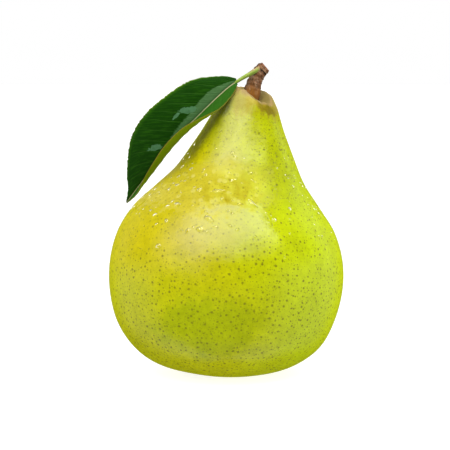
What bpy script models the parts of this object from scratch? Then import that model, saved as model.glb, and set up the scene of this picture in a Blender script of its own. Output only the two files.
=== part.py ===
"""A ripe pear standing on its own base, with its woody stem and one leaf.

The fruit is turned from one outer profile and then leaned along a curved core,
so that the neck tips to one side and the base keeps a small flat spot under it.
The stem is a tapered twig standing in the hollow at the top of the neck, the
leaf is a folded blade on a thin stalk, and the dried flower sits in the basin
at the bottom.  +Z is up, the floor is z = 0, and every length is in metres.
"""

import math

import bmesh
import bpy
import numpy as np

MM = 0.001                      # every table below is written in millimetres
GAP = 0.30                      # clearance left between two pieces that touch
WELD = 0.02                     # points nearer than this are one point
SHORTEST_EDGE = 0.01            # edges shorter than this are taken out
POLE_WELD = 0.05                # reach of the weld where the profile meets the core
SPACING = 0.75                  # how much a long step between two rows counts for
FLAT_NORMAL = -0.99995          # faces on the floor turned further down stay flat shaded

# ---------------------------------------------------------------- the fruit
# Outer profile as (distance from the core, height along the core), going from
# the calyx basin round the belly and up the neck into the stem hollow.
FRUIT_PROFILE = [
    (0.0, 4.2), (2.4, 3.7), (4.3, 1.7), (6.2, 0.45), (9.0, 0.30), (12.0, 0.65),
    (15.6, 1.25), (19.6, 2.3), (24.3, 4.5), (29.2, 8.3), (33.6, 14.0),
    (36.4, 22.0), (37.55, 32.0), (36.1, 42.0), (32.4, 50.0), (26.6, 57.0),
    (20.7, 64.0), (16.3, 72.0), (12.2, 80.0), (9.8, 85.2), (8.6, 87.8),
    (7.5, 89.4), (6.6, 90.15), (5.7, 90.15), (4.6, 89.6), (3.4, 89.0), (0.0, 88.6),
]
PROFILE_SAMPLES = 400           # points used when the profile is measured
FRUIT_ROWS = 44                 # rows of faces from pole to pole
FRUIT_STEPS = 64                # faces round the fruit
CORE_MIDDLE = 32.0              # height of the widest row, where the core is pinned
CORE_OFFSET = 0.07              # sideways place of the core at that height
# Lean of the core to +X and nod of the core to -Y, in degrees at each height.
LEAN_HEIGHTS = [-2.0, 0.0, 12.0, 24.0, 45.0, 64.0, 78.0, 84.0, 88.0, 92.0, 96.0]
LEAN_DEGREES = [4.0, 4.2, 6.2, 7.2, 7.8, 7.3, 7.2, 10.5, 17.0, 22.0, 23.0]
NOD_HEIGHTS = [-2.0, 50.0, 70.0, 84.0, 92.0, 96.0]
NOD_DEGREES = [0.0, 0.0, 2.0, 8.0, 16.0, 18.0]
CORE_SAMPLES = 980              # points the core line is summed over
CORE_BLUR = 81                  # samples over which the lean is smoothed
FLOOR_STEPS = 180               # directions tried when the lowest point is found
# The rim of the stem hollow is uneven: rises and dips along the core, each as
# (height, direction round the fruit in degrees, spread in degrees).
RIM_LIFTS = [(1.3, 48.0, 32.0), (2.0, -130.0, 45.0), (-1.2, -8.0, 25.0)]
RIM_HEIGHTS = (86.0, 91.3)      # they grow in between these heights on the core
RIM_RADII = (2.6, 4.5)          # and between these distances from it
FLAT_DEPTH = 0.70               # how much of the base the resting spot takes off
FLOOR_CUT_HALF = 60.0           # half width of the block that cuts it
FLOOR_CUT_DEPTH = 20.0          # depth of that block

# ---------------------------------------------------------------- the stem
# Axis as (x, y, z, radius) from the foot, set in the flesh, to the cut end.
STEM_AXIS = [
    (7.5, -1.9, 82.6, 1.70), (7.6, -1.9, 85.0, 2.05), (7.8, -1.9, 87.4, 2.45),
    (8.2, -1.9, 89.4, 2.60), (8.7, -1.8, 91.3, 2.42), (9.2, -1.7, 93.0, 2.28),
    (9.9, -1.6, 94.7, 2.18), (10.9, -1.5, 96.2, 2.08), (11.9, -1.4, 97.1, 1.85),
    (12.6, -1.4, 97.7, 1.62),
]
ROOM_DEPTH = 2.0 * GAP          # extra depth of the hole under the foot
STEM_SIDES = 24
STEM_RINGS = 30

# ---------------------------------------------------------------- the leaf
# Stations from the stalk end to the tip.  Each row holds the midrib (x, y, z),
# the far margin (x, y, z) and the near margin (x, y, z), which folds forward.
LEAF_STATIONS = [
    ((3.3, -5.6, 93.2), (3.2, -5.3, 94.2), (3.6, -5.8, 92.2)),
    ((0.8, -5.9, 91.4), (-0.6, -5.1, 94.9), (3.0, -8.2, 90.8)),
    ((-2.5, -5.9, 88.5), (-9.5, -4.0, 94.0), (1.2, -10.2, 88.1)),
    ((-5.7, -5.4, 85.4), (-15.2, -2.5, 91.3), (-2.2, -12.6, 84.9)),
    ((-8.9, -4.6, 82.2), (-20.0, -1.2, 87.8), (-8.2, -13.6, 82.0)),
    ((-12.2, -3.4, 79.0), (-23.2, 0.2, 85.2), (-12.9, -13.2, 79.4)),
    ((-15.6, -1.8, 75.5), (-26.2, 1.8, 82.1), (-16.9, -12.0, 75.9)),
    ((-18.9, 0.2, 71.6), (-29.0, 3.6, 78.1), (-20.1, -9.6, 72.1)),
    ((-21.9, 2.6, 67.6), (-30.9, 5.6, 73.5), (-22.9, -6.2, 67.8)),
    ((-24.6, 5.4, 63.9), (-31.8, 7.6, 67.4), (-25.4, -1.8, 63.6)),
    ((-27.2, 8.2, 60.4), (-32.1, 9.6, 62.0), (-27.4, 4.4, 59.7)),
    ((-29.8, 10.8, 56.9), (-31.9, 11.4, 57.8), (-29.2, 9.3, 56.1)),
    ((-32.2, 12.6, 53.6), (-32.6, 12.6, 54.1), (-31.7, 12.5, 53.1)),
]
LEAF_ROWS = 40                  # faces along the blade
LEAF_COLUMNS = 7                # faces across each half of the blade
LEAF_THICKNESS = 0.60
LEAF_FOLD = 3.4                 # how far the folded half bellies outward
LEAF_CAMBER = 0.9               # how far the open half arches
LEAF_SWELL = 1.1                # how quickly both shapes die away at the ends
FOLD_DIRECTION = (0.62, -0.30, -0.72)
CAMBER_DIRECTION = (0.25, -0.93, 0.27)
# Stalk and midrib as (x, y, z, radius), from inside the stem to near the tip.
STALK_START = [
    (10.9, -2.5, 97.3, 0.75), (9.4, -3.9, 96.6, 0.72), (7.3, -4.7, 95.5, 0.66),
    (5.3, -5.2, 94.3, 0.60), (3.9, -5.55, 93.5, 0.56),
]
MIDRIB_START_RADIUS = 0.54
MIDRIB_END_RADIUS = 0.34
MIDRIB_LAST_STATION = 11        # the midrib stops short of the tip
STALK_SIDES = 12
STALK_RINGS = 60

# ---------------------------------------------------------------- the calyx
SEPALS = 5
CALYX_RADIUS = 2.9              # reach of each dried sepal
CALYX_WAIST = 1.5               # radius between two sepals
CALYX_THICKNESS = 0.50
CALYX_DROOP = 0.14              # how far a sepal hangs away from the basin
SEPAL_POINT = 1.5               # how sharply each sepal comes to a point
BASIN_SAMPLES = 60              # profile points that make up the basin
CALYX_RINGS = 6
CALYX_STEPS = 60


PARTS = bpy.data.collections.new("pear")
CUTTERS = bpy.data.collections.new("pear_cutters")


def through(points, count):
    """Return count points along a smooth line that passes through the given rows.

    Between two neighbours the line is the cubic that leaves and arrives with
    the average slope of the rows on either side, so it never overshoots much.
    """
    rows = np.asarray(points, float)
    steps = np.linalg.norm(np.diff(rows[:, :3], axis=0), axis=1) ** SPACING
    place_along = np.concatenate([[0.0], np.cumsum(steps)])
    width = np.diff(place_along)
    slope = np.diff(rows, axis=0) / width[:, None]
    bend = np.empty_like(rows)
    bend[0] = slope[0]
    bend[-1] = slope[-1]
    blend = slope[:-1] * width[1:, None] + slope[1:] * width[:-1, None]
    bend[1:-1] = blend / (width[:-1] + width[1:])[:, None]
    along = np.linspace(0.0, place_along[-1], count)
    cell = np.searchsorted(place_along, along, side="right") - 1
    cell = np.clip(cell, 0, len(width) - 1)
    t = ((along - place_along[cell]) / width[cell])[:, None]
    span = width[cell][:, None]
    return (
        (2 * t**3 - 3 * t**2 + 1) * rows[cell]
        + (t**3 - 2 * t**2 + t) * span * bend[cell]
        + (3 * t**2 - 2 * t**3) * rows[cell + 1]
        + (t**3 - t**2) * span * bend[cell + 1]
    )


def smooth_step(low, high, value):
    """Rise smoothly from 0 to 1 while value goes from low to high."""
    t = np.clip((value - low) / (high - low), 0.0, 1.0)
    return t * t * (3.0 - 2.0 * t)


def core_line():
    """Sum the lean and nod angles into the curved core of the fruit."""
    heights = np.linspace(LEAN_HEIGHTS[0], LEAN_HEIGHTS[-1], CORE_SAMPLES)
    step = heights[1] - heights[0]
    window = np.hanning(CORE_BLUR)
    window = window / window.sum()
    reach = CORE_BLUR // 2
    lean = np.pad(np.interp(heights, LEAN_HEIGHTS, LEAN_DEGREES), reach, mode="edge")
    nod = np.pad(np.interp(heights, NOD_HEIGHTS, NOD_DEGREES), reach, mode="edge")
    lean = np.radians(np.convolve(lean, window, "valid"))
    nod = np.radians(np.convolve(nod, window, "valid"))
    x = np.cumsum(np.sin(lean)) * step
    y = -np.cumsum(np.sin(nod)) * step
    z = np.cumsum(np.cos(lean) * np.cos(nod)) * step
    middle = int(np.argmin(np.abs(heights - CORE_MIDDLE)))
    x = x - x[middle] + CORE_OFFSET
    z = z - z[middle] + CORE_MIDDLE
    return heights, x, y, z, lean, nod


CORE = core_line()


def lean_point(radius, height, angle):
    """Carry a turned point (radius, height, angle) onto the leaning fruit."""
    heights, core_x, core_y, core_z, core_lean, core_nod = CORE
    lean = np.interp(height, heights, core_lean)
    nod = np.interp(height, heights, core_nod)
    lift = 0.0
    for tall, direction, spread in RIM_LIFTS:
        turned = np.mod(angle - math.radians(direction) + math.pi, math.tau) - math.pi
        lift = lift + tall * np.exp(-(turned / math.radians(spread)) ** 2)
    lift = lift * smooth_step(*RIM_HEIGHTS, height) * smooth_step(*RIM_RADII, radius)
    across = radius * np.cos(angle)
    deep = radius * np.sin(angle)
    x = np.interp(height, heights, core_x) + across * np.cos(lean) + lift * np.sin(lean)
    y = np.interp(height, heights, core_y) + deep * np.cos(nod) - lift * np.sin(nod)
    z = np.interp(height, heights, core_z) - across * np.sin(lean)
    z = z + deep * np.sin(nod) + lift * np.cos(lean)
    return np.stack([x, y, z], axis=-1)


def floor_height():
    """Height of the resting spot before the fruit is lowered onto the floor."""
    profile = through(FRUIT_PROFILE, PROFILE_SAMPLES)
    angle = np.linspace(-math.pi, math.pi, FLOOR_STEPS + 1)
    points = lean_point(profile[:, 0:1], profile[:, 1:2], angle)
    return float(points[..., 2].min()) + FLAT_DEPTH


FLOOR = floor_height()


def add_object(name, vertices, faces, collection):
    """Make a mesh object from points given in millimetres."""
    mesh = bpy.data.meshes.new(name)
    scaled = [(float(p[0]) * MM, float(p[1]) * MM, float(p[2]) * MM) for p in vertices]
    mesh.from_pydata(scaled, [], faces)
    mesh.update()
    item = bpy.data.objects.new(name, mesh)
    collection.objects.link(item)
    return item


def baked(item):
    """Replace an object by the closed, outward-facing mesh its modifiers make."""
    bpy.context.view_layer.update()
    graph = bpy.context.evaluated_depsgraph_get()
    mesh = bpy.data.meshes.new_from_object(item.evaluated_get(graph))
    work = bmesh.new()
    work.from_mesh(mesh)
    bmesh.ops.remove_doubles(work, verts=work.verts, dist=WELD * MM)
    bmesh.ops.dissolve_degenerate(work, edges=work.edges, dist=SHORTEST_EDGE * MM)
    bmesh.ops.recalc_face_normals(work, faces=work.faces)
    work.to_mesh(mesh)
    work.free()
    name = item.name
    home = item.users_collection[0]
    bpy.data.objects.remove(item)
    result = bpy.data.objects.new(name, mesh)
    home.objects.link(result)
    return result


def hide_cutter(item):
    """Keep a cutting body out of the picture."""
    item.hide_render = True
    item.display_type = "WIRE"


def boolean(item, other, operation):
    """Combine an object with another one by an exact Boolean."""
    step = item.modifiers.new(operation.lower(), "BOOLEAN")
    step.operation = operation
    step.solver = "EXACT"
    step.object = other
    return baked(item)


def tube(name, axis, rings, sides, collection, grow=0.0):
    """Sweep a round section of changing radius along a smooth axis."""
    rows = through(axis, rings)
    line = bpy.data.curves.new(name, "CURVE")
    line.dimensions = "3D"
    line.bevel_depth = MM
    line.bevel_resolution = sides // 4 - 1
    line.use_fill_caps = True
    spline = line.splines.new("POLY")
    spline.points.add(len(rows) - 1)
    for point, row in zip(spline.points, rows):
        point.co = (row[0] * MM, row[1] * MM, row[2] * MM, 1.0)
        point.radius = row[3] + grow
    item = bpy.data.objects.new(name, line)
    collection.objects.link(item)
    return baked(item)


def make_fruit():
    """Turn the profile round the core and lean every point of it."""
    profile = through(FRUIT_PROFILE, FRUIT_ROWS + 1)
    profile[0, 0] = 0.0
    profile[-1, 0] = 0.0
    outline = [(r, 0.0, h) for r, h in profile[::-1]]
    edges = [(i, i + 1) for i in range(len(outline) - 1)]
    mesh = bpy.data.meshes.new("pear_body")
    mesh.from_pydata([(x * MM, y * MM, z * MM) for x, y, z in outline], edges, [])
    item = bpy.data.objects.new("pear_body", mesh)
    PARTS.objects.link(item)
    turn = item.modifiers.new("turned", "SCREW")
    turn.axis = "Z"
    turn.angle = math.tau
    turn.steps = FRUIT_STEPS
    turn.render_steps = FRUIT_STEPS
    turn.use_merge_vertices = True
    turn.merge_threshold = POLE_WELD * MM
    item = baked(item)
    for vertex in item.data.vertices:
        x, y, z = [value / MM for value in vertex.co]
        point = lean_point(math.hypot(x, y), z, math.atan2(y, x))
        vertex.co = (point[0] * MM, point[1] * MM, (point[2] - FLOOR) * MM)
    return item


def make_flat_cutter():
    """A block whose top face is the floor, used to cut the resting spot."""
    half = FLOOR_CUT_HALF
    corners = [(x, y, z) for z in (-FLOOR_CUT_DEPTH, 0.0)
               for y in (-half, half) for x in (-half, half)]
    faces = [(0, 2, 3, 1), (4, 5, 7, 6), (0, 1, 5, 4), (2, 6, 7, 3), (0, 4, 6, 2), (1, 3, 7, 5)]
    item = add_object("floor_cutter", corners, faces, CUTTERS)
    hide_cutter(item)
    return item


def leaf_surface():
    """Points of the blade: far half, midrib, then the half that folds forward."""
    flat = [[value for corner in station for value in corner] for station in LEAF_STATIONS]
    rows = through(flat, LEAF_ROWS + 1)
    middle = rows[:, None, 0:3]
    far = rows[:, None, 3:6]
    near = rows[:, None, 6:9]
    share = np.linspace(0.0, 1.0, LEAF_ROWS + 1)[:, None, None]
    swell = np.sin(math.pi * share) ** LEAF_SWELL
    t = np.linspace(1.0, 0.0, LEAF_COLUMNS + 1)[None, :, None]
    arch = LEAF_CAMBER * swell * 4.0 * t * (1.0 - t)
    far_half = middle + t * (far - middle) + arch * np.array(CAMBER_DIRECTION)
    t = np.linspace(0.0, 1.0, LEAF_COLUMNS + 1)[None, 1:, None]
    belly = LEAF_FOLD * swell * 2.0 * t * (1.0 - t)
    near_half = middle + t * (near - middle) + belly * np.array(FOLD_DIRECTION)
    return np.concatenate([far_half, near_half], axis=1)


def make_leaf(stem_room):
    """Thicken the blade, join the stalk and midrib, and trim them at the stem."""
    grid = leaf_surface()
    rows, columns = grid.shape[:2]
    faces = []
    for i in range(rows - 1):
        for j in range(columns - 1):
            a = i * columns + j
            faces.append((a, a + 1, a + 1 + columns, a + columns))
    item = add_object("leaf", grid.reshape(-1, 3), faces, PARTS)
    shell = item.modifiers.new("thickness", "SOLIDIFY")
    shell.thickness = LEAF_THICKNESS * MM
    shell.offset = 0.0
    item = baked(item)
    ribs = [row[0] for row in LEAF_STATIONS[:MIDRIB_LAST_STATION]]
    radii = np.linspace(MIDRIB_START_RADIUS, MIDRIB_END_RADIUS, len(ribs))
    axis = STALK_START + [rib + (float(radius),) for rib, radius in zip(ribs, radii)][1:]
    stalk = tube("leaf_stalk", axis, STALK_RINGS, STALK_SIDES, CUTTERS)
    hide_cutter(stalk)
    item = boolean(item, stalk, "UNION")
    return boolean(item, stem_room, "DIFFERENCE")


def make_calyx():
    """Dried sepals as one thin star that follows the basin with a small gap."""
    basin = through(FRUIT_PROFILE, PROFILE_SAMPLES)[:BASIN_SAMPLES]
    vertices = []
    for i in range(CALYX_RINGS + 1):
        for j in range(CALYX_STEPS):
            angle = math.tau * j / CALYX_STEPS
            point_out = (0.5 + 0.5 * math.cos(SEPALS * angle)) ** SEPAL_POINT
            reach = CALYX_WAIST + (CALYX_RADIUS - CALYX_WAIST) * point_out
            radius = reach * i / CALYX_RINGS
            height = np.interp(radius, basin[:, 0], basin[:, 1]) - GAP - 0.5 * CALYX_THICKNESS
            height = height - CALYX_DROOP * radius
            vertices.append(lean_point(radius, height, angle) - np.array([0.0, 0.0, FLOOR]))
            if i == 0:
                break
    faces = []
    for j in range(CALYX_STEPS):
        faces.append((0, 1 + j, 1 + (j + 1) % CALYX_STEPS))
    for i in range(CALYX_RINGS - 1):
        low = 1 + i * CALYX_STEPS
        high = low + CALYX_STEPS
        for j in range(CALYX_STEPS):
            k = (j + 1) % CALYX_STEPS
            faces.append((low + j, high + j, high + k, low + k))
    item = add_object("calyx", vertices, faces, PARTS)
    shell = item.modifiers.new("thickness", "SOLIDIFY")
    shell.thickness = CALYX_THICKNESS * MM
    shell.offset = 0.0
    return baked(item)


def finish(item, name, colour, roughness):
    """Name the piece, shade it smooth and give it its own material."""
    item.name = name
    item.data.name = name
    for face in item.data.polygons:
        face.use_smooth = face.normal.z > FLAT_NORMAL or face.center.z > WELD * MM
    material = bpy.data.materials.new(name)
    material.use_nodes = True
    shader = material.node_tree.nodes["Principled BSDF"]
    shader.inputs["Base Color"].default_value = colour + (1.0,)
    shader.inputs["Roughness"].default_value = roughness
    shader.inputs["Metallic"].default_value = 0.0
    item.data.materials.clear()
    item.data.materials.append(material)


def main():
    """Build the pear, its stem, its leaf and its dried calyx."""
    for old in list(bpy.data.objects):
        bpy.data.objects.remove(old)
    bpy.context.scene.collection.children.link(PARTS)
    bpy.context.scene.collection.children.link(CUTTERS)

    room = tube("stem_room", STEM_AXIS, STEM_RINGS, STEM_SIDES, CUTTERS, grow=GAP)
    # The room reaches deeper than the foot of the stem it clears.
    for vertex in room.data.vertices:
        if vertex.co.z < (STEM_AXIS[0][2] + GAP) * MM:
            vertex.co.z -= ROOM_DEPTH * MM
    hide_cutter(room)
    fruit = boolean(make_fruit(), make_flat_cutter(), "DIFFERENCE")
    fruit = boolean(fruit, room, "DIFFERENCE")
    stem = tube("stem", STEM_AXIS, STEM_RINGS, STEM_SIDES, PARTS)
    leaf = make_leaf(room)
    calyx = make_calyx()

    finish(fruit, "pear_body", (0.55, 0.60, 0.05), 0.30)
    finish(stem, "stem", (0.22, 0.11, 0.05), 0.75)
    finish(leaf, "leaf", (0.04, 0.16, 0.02), 0.35)
    finish(calyx, "calyx", (0.10, 0.06, 0.03), 0.85)


main()
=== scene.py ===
# %% [markdown]
# # A pear, its stem and its leaf
#
# This lesson dresses a plain solid model of a ripe pear, which gives the true sizes.  Every
# piece is made again as a fine surface with its own finish: the waxy, dotted skin, the
# woody stem, the folded glossy leaf, the dried flower underneath and drops of water.  Every
# shape is a formula over a grid of numbers, so one changed line shows what it does.

import math

import bpy
import numpy as np
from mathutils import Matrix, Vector


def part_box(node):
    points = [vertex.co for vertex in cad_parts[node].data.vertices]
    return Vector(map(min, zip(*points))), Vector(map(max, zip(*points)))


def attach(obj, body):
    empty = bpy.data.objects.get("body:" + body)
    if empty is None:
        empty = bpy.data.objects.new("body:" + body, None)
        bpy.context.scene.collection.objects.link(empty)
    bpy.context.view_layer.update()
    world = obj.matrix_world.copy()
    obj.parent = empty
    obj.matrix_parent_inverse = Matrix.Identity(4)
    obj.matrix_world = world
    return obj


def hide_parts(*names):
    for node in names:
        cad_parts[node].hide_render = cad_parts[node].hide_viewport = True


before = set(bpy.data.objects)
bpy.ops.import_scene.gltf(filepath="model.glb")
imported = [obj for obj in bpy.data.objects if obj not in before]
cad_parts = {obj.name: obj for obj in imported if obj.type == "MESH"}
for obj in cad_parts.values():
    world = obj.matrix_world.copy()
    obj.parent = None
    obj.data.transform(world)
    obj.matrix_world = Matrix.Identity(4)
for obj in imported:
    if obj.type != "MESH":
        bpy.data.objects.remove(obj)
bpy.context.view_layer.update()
fruit_low, fruit_high = (np.array(corner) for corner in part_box("pear_body"))
print("solid model, mm:", np.round((fruit_high - fruit_low) * 1000, 1))

# %% [markdown]
# ## One measure for everything
#
# The tables here are in millimetres of a pear whose belly is 75.13 mm across.  `MM` turns
# them into the model's metres, so that everything follows the model's size.

# %% The measure
TABLE_BELLY = 75.13
MM = float(fruit_high[0] - fruit_low[0]) / TABLE_BELLY
print("one table millimetre is", round(MM * 1000, 4), "mm")

# %% [markdown]
# ## Smooth lines through a few rows
#
# Natural things have no corners.  A short table of rows becomes a smooth line when each
# pair is joined by a cubic whose end slopes agree with its neighbours'.  It serves the
# fruit's outline, the stem's bend and the leaf's edges.

# %% Lines
def through(rows, places):
    """Values on a smooth line through the rows, at places from 0 to 1.

    Formula: rows are spaced by distance to the power 0.75.  Inside a cell of width w, with
    t from 0 to 1, the value is h00 a + h10 w p + h01 b + h11 w q, where a and b are the
    rows, p and q the slopes there and h00..h11 the four Hermite cubics.
    """
    rows = np.asarray(rows, float)
    places = np.asarray(places, float)
    gaps = np.linalg.norm(np.diff(rows[:, :3], axis=0), axis=1) ** 0.75
    knots = np.concatenate([[0], np.cumsum(gaps)])
    width = np.diff(knots)
    slope = np.diff(rows, axis=0) / width[:, None]
    inner = (slope[:-1] * width[1:, None] + slope[1:] * width[:-1, None])
    inner = inner / (width[:-1] + width[1:])[:, None]
    ends = np.concatenate([slope[:1], inner, slope[-1:]])
    along = places * knots[-1]
    cell = np.clip(np.searchsorted(knots, along, side="right") - 1, 0, len(width) - 1)
    w = width[cell][..., None]
    t = (along - knots[cell])[..., None] / w
    first = (2 * t**3 - 3 * t**2 + 1) * rows[cell] + (t**3 - 2 * t**2 + t) * w * ends[cell]
    second = (3 * t**2 - 2 * t**3) * rows[cell + 1] + (t**3 - t**2) * w * ends[cell + 1]
    return first + second


def ease(low, high, value):
    """0 below low, 1 above high, and 3t^2 - 2t^3 in between."""
    t = np.clip((np.asarray(value, float) - low) / (high - low), 0, 1)
    return t * t * (3 - 2 * t)


def bump(value, middle, reach):
    """A bell: exp(-((value - middle) / reach)^2)."""
    return np.exp(-(((value - middle) / reach) ** 2))


# %% [markdown]
# ## Unevenness
#
# Nothing that grew is perfectly regular.  `wander` adds a handful of waves that run through
# space in seeded random directions: smooth, cheap and the same on every run.

# %% Unevenness
def unit(way):
    """Directions cut to length 1."""
    return way / np.linalg.norm(way, axis=-1, keepdims=True)


def wander(points, size, seed, waves=9):
    """Sum of slanted sine waves, about -1..1, with features of the given size in mm.

    Formula: mean over waves of sin(2 pi d.p / size + phase) times sqrt(2), each d being a
    random direction stretched by 0.6 to 1.5.
    """
    rng = np.random.default_rng(seed)
    way = unit(rng.normal(size=(waves, 3))) * rng.uniform(0.6, 1.5, (waves, 1))
    phase = rng.uniform(0, 2 * math.pi, waves)
    turn = points @ (way.T * 2 * math.pi / size) + phase
    return np.sin(turn).mean(axis=-1) * math.sqrt(2)


# %% [markdown]
# ## From a grid of points to a piece
#
# Every piece here is a stack of closed rings of points, as round a stem, with one pole
# point at each end.  Joining neighbours gives faces, so no hole can be left, and
# `foreach_set` hands Blender whole arrays.

# %% Grid to mesh
def ring_faces(rows, columns):
    """Faces of a stack of closed rings of points, whose two pole points come after them.

    Each quad joins two neighbours on a ring to the same two on the next; each triangle
    joins two neighbours on the first or last ring to its pole.
    """
    count, last = rows * columns, (rows - 1) * columns
    j = np.arange(columns)
    k = (j + 1) % columns
    i = np.arange(rows - 1)[:, None] * columns
    quads = np.stack([i + j, i + k, i + columns + k, i + columns + j], axis=-1)
    caps = np.array([[0 * j + count, k, j], [0 * j + count + 1, last + j, last + k]])
    return quads.reshape(-1, 4), caps.transpose(0, 2, 1).reshape(-1, 3)


def new_object(name, data):
    """Put mesh, lamp or camera data into the scene as an object."""
    item = bpy.data.objects.new(name, data)
    bpy.context.scene.collection.objects.link(item)
    return item


def make_piece(name, points, quads, triangles, **attributes):
    """A smooth mesh object from an (n, 3) array in table mm and arrays of faces."""
    mesh = bpy.data.meshes.new(name)
    corners = np.concatenate([quads.ravel(), triangles.ravel()]).astype(np.int32)
    sizes = np.concatenate([np.full(len(quads), 4), np.full(len(triangles), 3)])
    starts = np.concatenate([[0], np.cumsum(sizes)[:-1]]).astype(np.int32)
    mesh.vertices.add(len(points))
    mesh.vertices.foreach_set("co", (points * MM).astype(np.float32).ravel())
    mesh.loops.add(len(corners))
    mesh.loops.foreach_set("vertex_index", corners)
    mesh.polygons.add(len(sizes))
    mesh.polygons.foreach_set("loop_start", starts)
    mesh.update(calc_edges=True)
    mesh.validate()
    mesh.polygons.foreach_set("use_smooth", np.ones(len(mesh.polygons), bool))
    for title, values in attributes.items():
        layer = mesh.attributes.new(title, "FLOAT_VECTOR", "POINT")
        layer.data.foreach_set("vector", values.astype(np.float32).ravel())
    print(f"{name}: {len(points)} points, {len(mesh.polygons)} faces")
    return new_object(name, mesh)


def closed_piece(name, rings, poles=None, **attributes):
    """A piece from rings (rows, columns, 3) and two poles.  Attributes come the same way.

    Without poles, the middles of the first and the last ring are taken.
    """
    if poles is None:
        poles = rings[[0, -1]].mean(axis=1)
    flat = {title: np.concatenate([grid.reshape(-1, 3), tips])
            for title, (grid, tips) in attributes.items()}
    points = np.concatenate([rings.reshape(-1, 3), poles])
    return make_piece(name, points, *ring_faces(*rings.shape[:2]), **flat)


# %% [markdown]
# ## The fruit
#
# A pear is nearly a turned shape, so it starts from one outline: (distance from the core,
# height along the core), from the dried flower up to the stem.  A real one never hangs
# straight, so the core leans, more and more towards the stem, and nods forward a little.

# %% Outline and core of the fruit
OUTLINE = [
    (0, 4.2), (2.4, 3.7), (4.3, 1.7), (6.2, 0.45), (9, 0.3), (12, 0.65),
    (15.6, 1.25), (19.6, 2.3), (24.3, 4.5), (29.2, 8.3), (33.6, 14),
    (36.4, 22), (37.55, 32), (36.1, 42), (32.4, 50), (26.6, 57),
    (20.7, 64), (16.3, 72), (12.2, 80), (9.8, 85.2), (8.6, 87.8),
    (7.5, 89.4), (6.6, 90.15), (5.7, 90.15), (4.6, 89.6), (3.4, 89), (0, 88.6),
]
LEAN = [(-2, 4), (0, 4.2), (12, 6.2), (24, 7.2), (45, 7.8), (64, 7.3),
        (78, 7.2), (84, 10.5), (88, 17), (92, 22), (96, 23)]
NOD = [(-2, 0), (50, 0), (70, 2), (84, 8), (92, 16), (96, 18)]


def core_line(samples=980, blur=81, middle=32, offset=0.07):
    """Heights and, for each, the core's x, y, z, lean and nod.

    Formula: the two angle tables are blurred with a raised-cosine window and summed:
    x = sum sin(lean), y = -sum sin(nod), z = sum cos(lean) cos(nod), pinned at middle.
    """
    heights = np.linspace(-2, 96, samples)
    step = heights[1] - heights[0]
    window = np.hanning(blur) / np.hanning(blur).sum()

    def blurred(table):
        angle = np.interp(heights, *np.array(table, float).T)
        return np.radians(np.convolve(np.pad(angle, blur // 2, mode="edge"), window, "valid"))

    lean, nod = blurred(LEAN), blurred(NOD)
    x = np.cumsum(np.sin(lean)) * step
    y = -np.cumsum(np.sin(nod)) * step
    z = np.cumsum(np.cos(lean) * np.cos(nod)) * step
    pin = int(np.argmin(np.abs(heights - middle)))
    return heights, x - x[pin] + offset, y, z - z[pin] + middle, lean, nod


CORE = core_line()


def on_core(height):
    """The core's x, y, z, lean and nod at a height."""
    return [np.interp(height, CORE[0], column) for column in CORE[1:]]


# %% [markdown]
# ## The skin of the fruit as a function
#
# In `fruit_skin(u, v)`, u runs along the outline from pole to pole and v is the angle round
# the core.  It adds what makes a pear: low lumps, faint ribs near both ends, a shoulder
# higher on one side of the stem hollow, a folded rim and the flat spot it rests on.

# %% The skin
# How the rim of the hollow rises and falls: (mm, degrees round, spread).
RIM_LIFTS = [(1.3, 48, 32), (2, -130, 45), (-1.2, -8, 25)]
REST_DEPTH = 0.7        # how much of the base the resting spot takes off
REST_SOFTNESS = 0.25     # how gently the flat spot runs out into the round skin


def turned_skin(u, v):
    """Leaning surface before it is set on the floor; u and v are arrays of one shape."""
    outline = through(OUTLINE, u)
    radius, height = outline[..., 0], outline[..., 1]
    near_base = 1 - ease(3, 26, height)
    near_top = ease(74, 89, height)
    body = ease(0.5, 9, radius)
    ribs = 0.016 * near_base * np.cos(5 * v + 0.7) + 0.01 * near_base * np.cos(3 * v - 1.1)
    ribs = ribs + 0.028 * near_top * np.cos(4 * v + 0.9 + 0.05 * height)
    ribs = ribs + 0.02 * near_top * np.cos(7 * v - 2)
    around = np.stack([radius * np.cos(v), radius * np.sin(v), height], axis=-1)
    lumps = 0.2 * wander(around, 34, 11) + 0.07 * wander(around, 12, 12)
    radius = radius * (1 + ribs * body) + lumps * body
    shoulder = ease(86, 91.3, height) * ease(2.6, 4.5, radius)
    lift = sum(tall * bump((v - math.radians(at) + math.pi) % (2 * math.pi) - math.pi, 0,
                           math.radians(wide)) for tall, at, wide in RIM_LIFTS) * shoulder
    folds = 0.1 * np.cos(9 * v + 1.3) + 0.08 * np.cos(14 * v - 0.4)
    lift = lift + folds * ease(87.5, 90.5, height) * ease(2.2, 4, radius)
    x, y, z, lean, nod = on_core(height)
    across, deep = radius * np.cos(v), radius * np.sin(v)
    x = x + across * np.cos(lean) + lift * np.sin(lean)
    y = y + deep * np.cos(nod) - lift * np.sin(nod)
    z = z - across * np.sin(lean) + deep * np.sin(nod) + lift * np.cos(lean)
    return np.stack([x, y, z], axis=-1)


def lattice(rows, columns):
    """u down the rows, v round the columns, both as (rows, columns) arrays."""
    u = np.linspace(0, 1, rows)
    v = np.linspace(-math.pi, math.pi, columns, endpoint=False)
    return np.meshgrid(u, v, indexing="ij")


TRIAL = turned_skin(*lattice(300, 180))
REST_HEIGHT = float(TRIAL[..., 2].min()) + REST_DEPTH


def fruit_skin(u, v):
    """The finished skin: the leaning surface lowered and pressed flat where it rests.

    Formula: z' = (z + sqrt(z^2 + s^2)) / 2, which is z well above the floor and 0 below.
    """
    points = turned_skin(u, v)
    z = points[..., 2] - REST_HEIGHT
    pressed = (z + np.sqrt(z * z + REST_SOFTNESS**2)) / 2
    points[..., 2] = np.where(z > 4, z, pressed)
    return points


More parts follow.
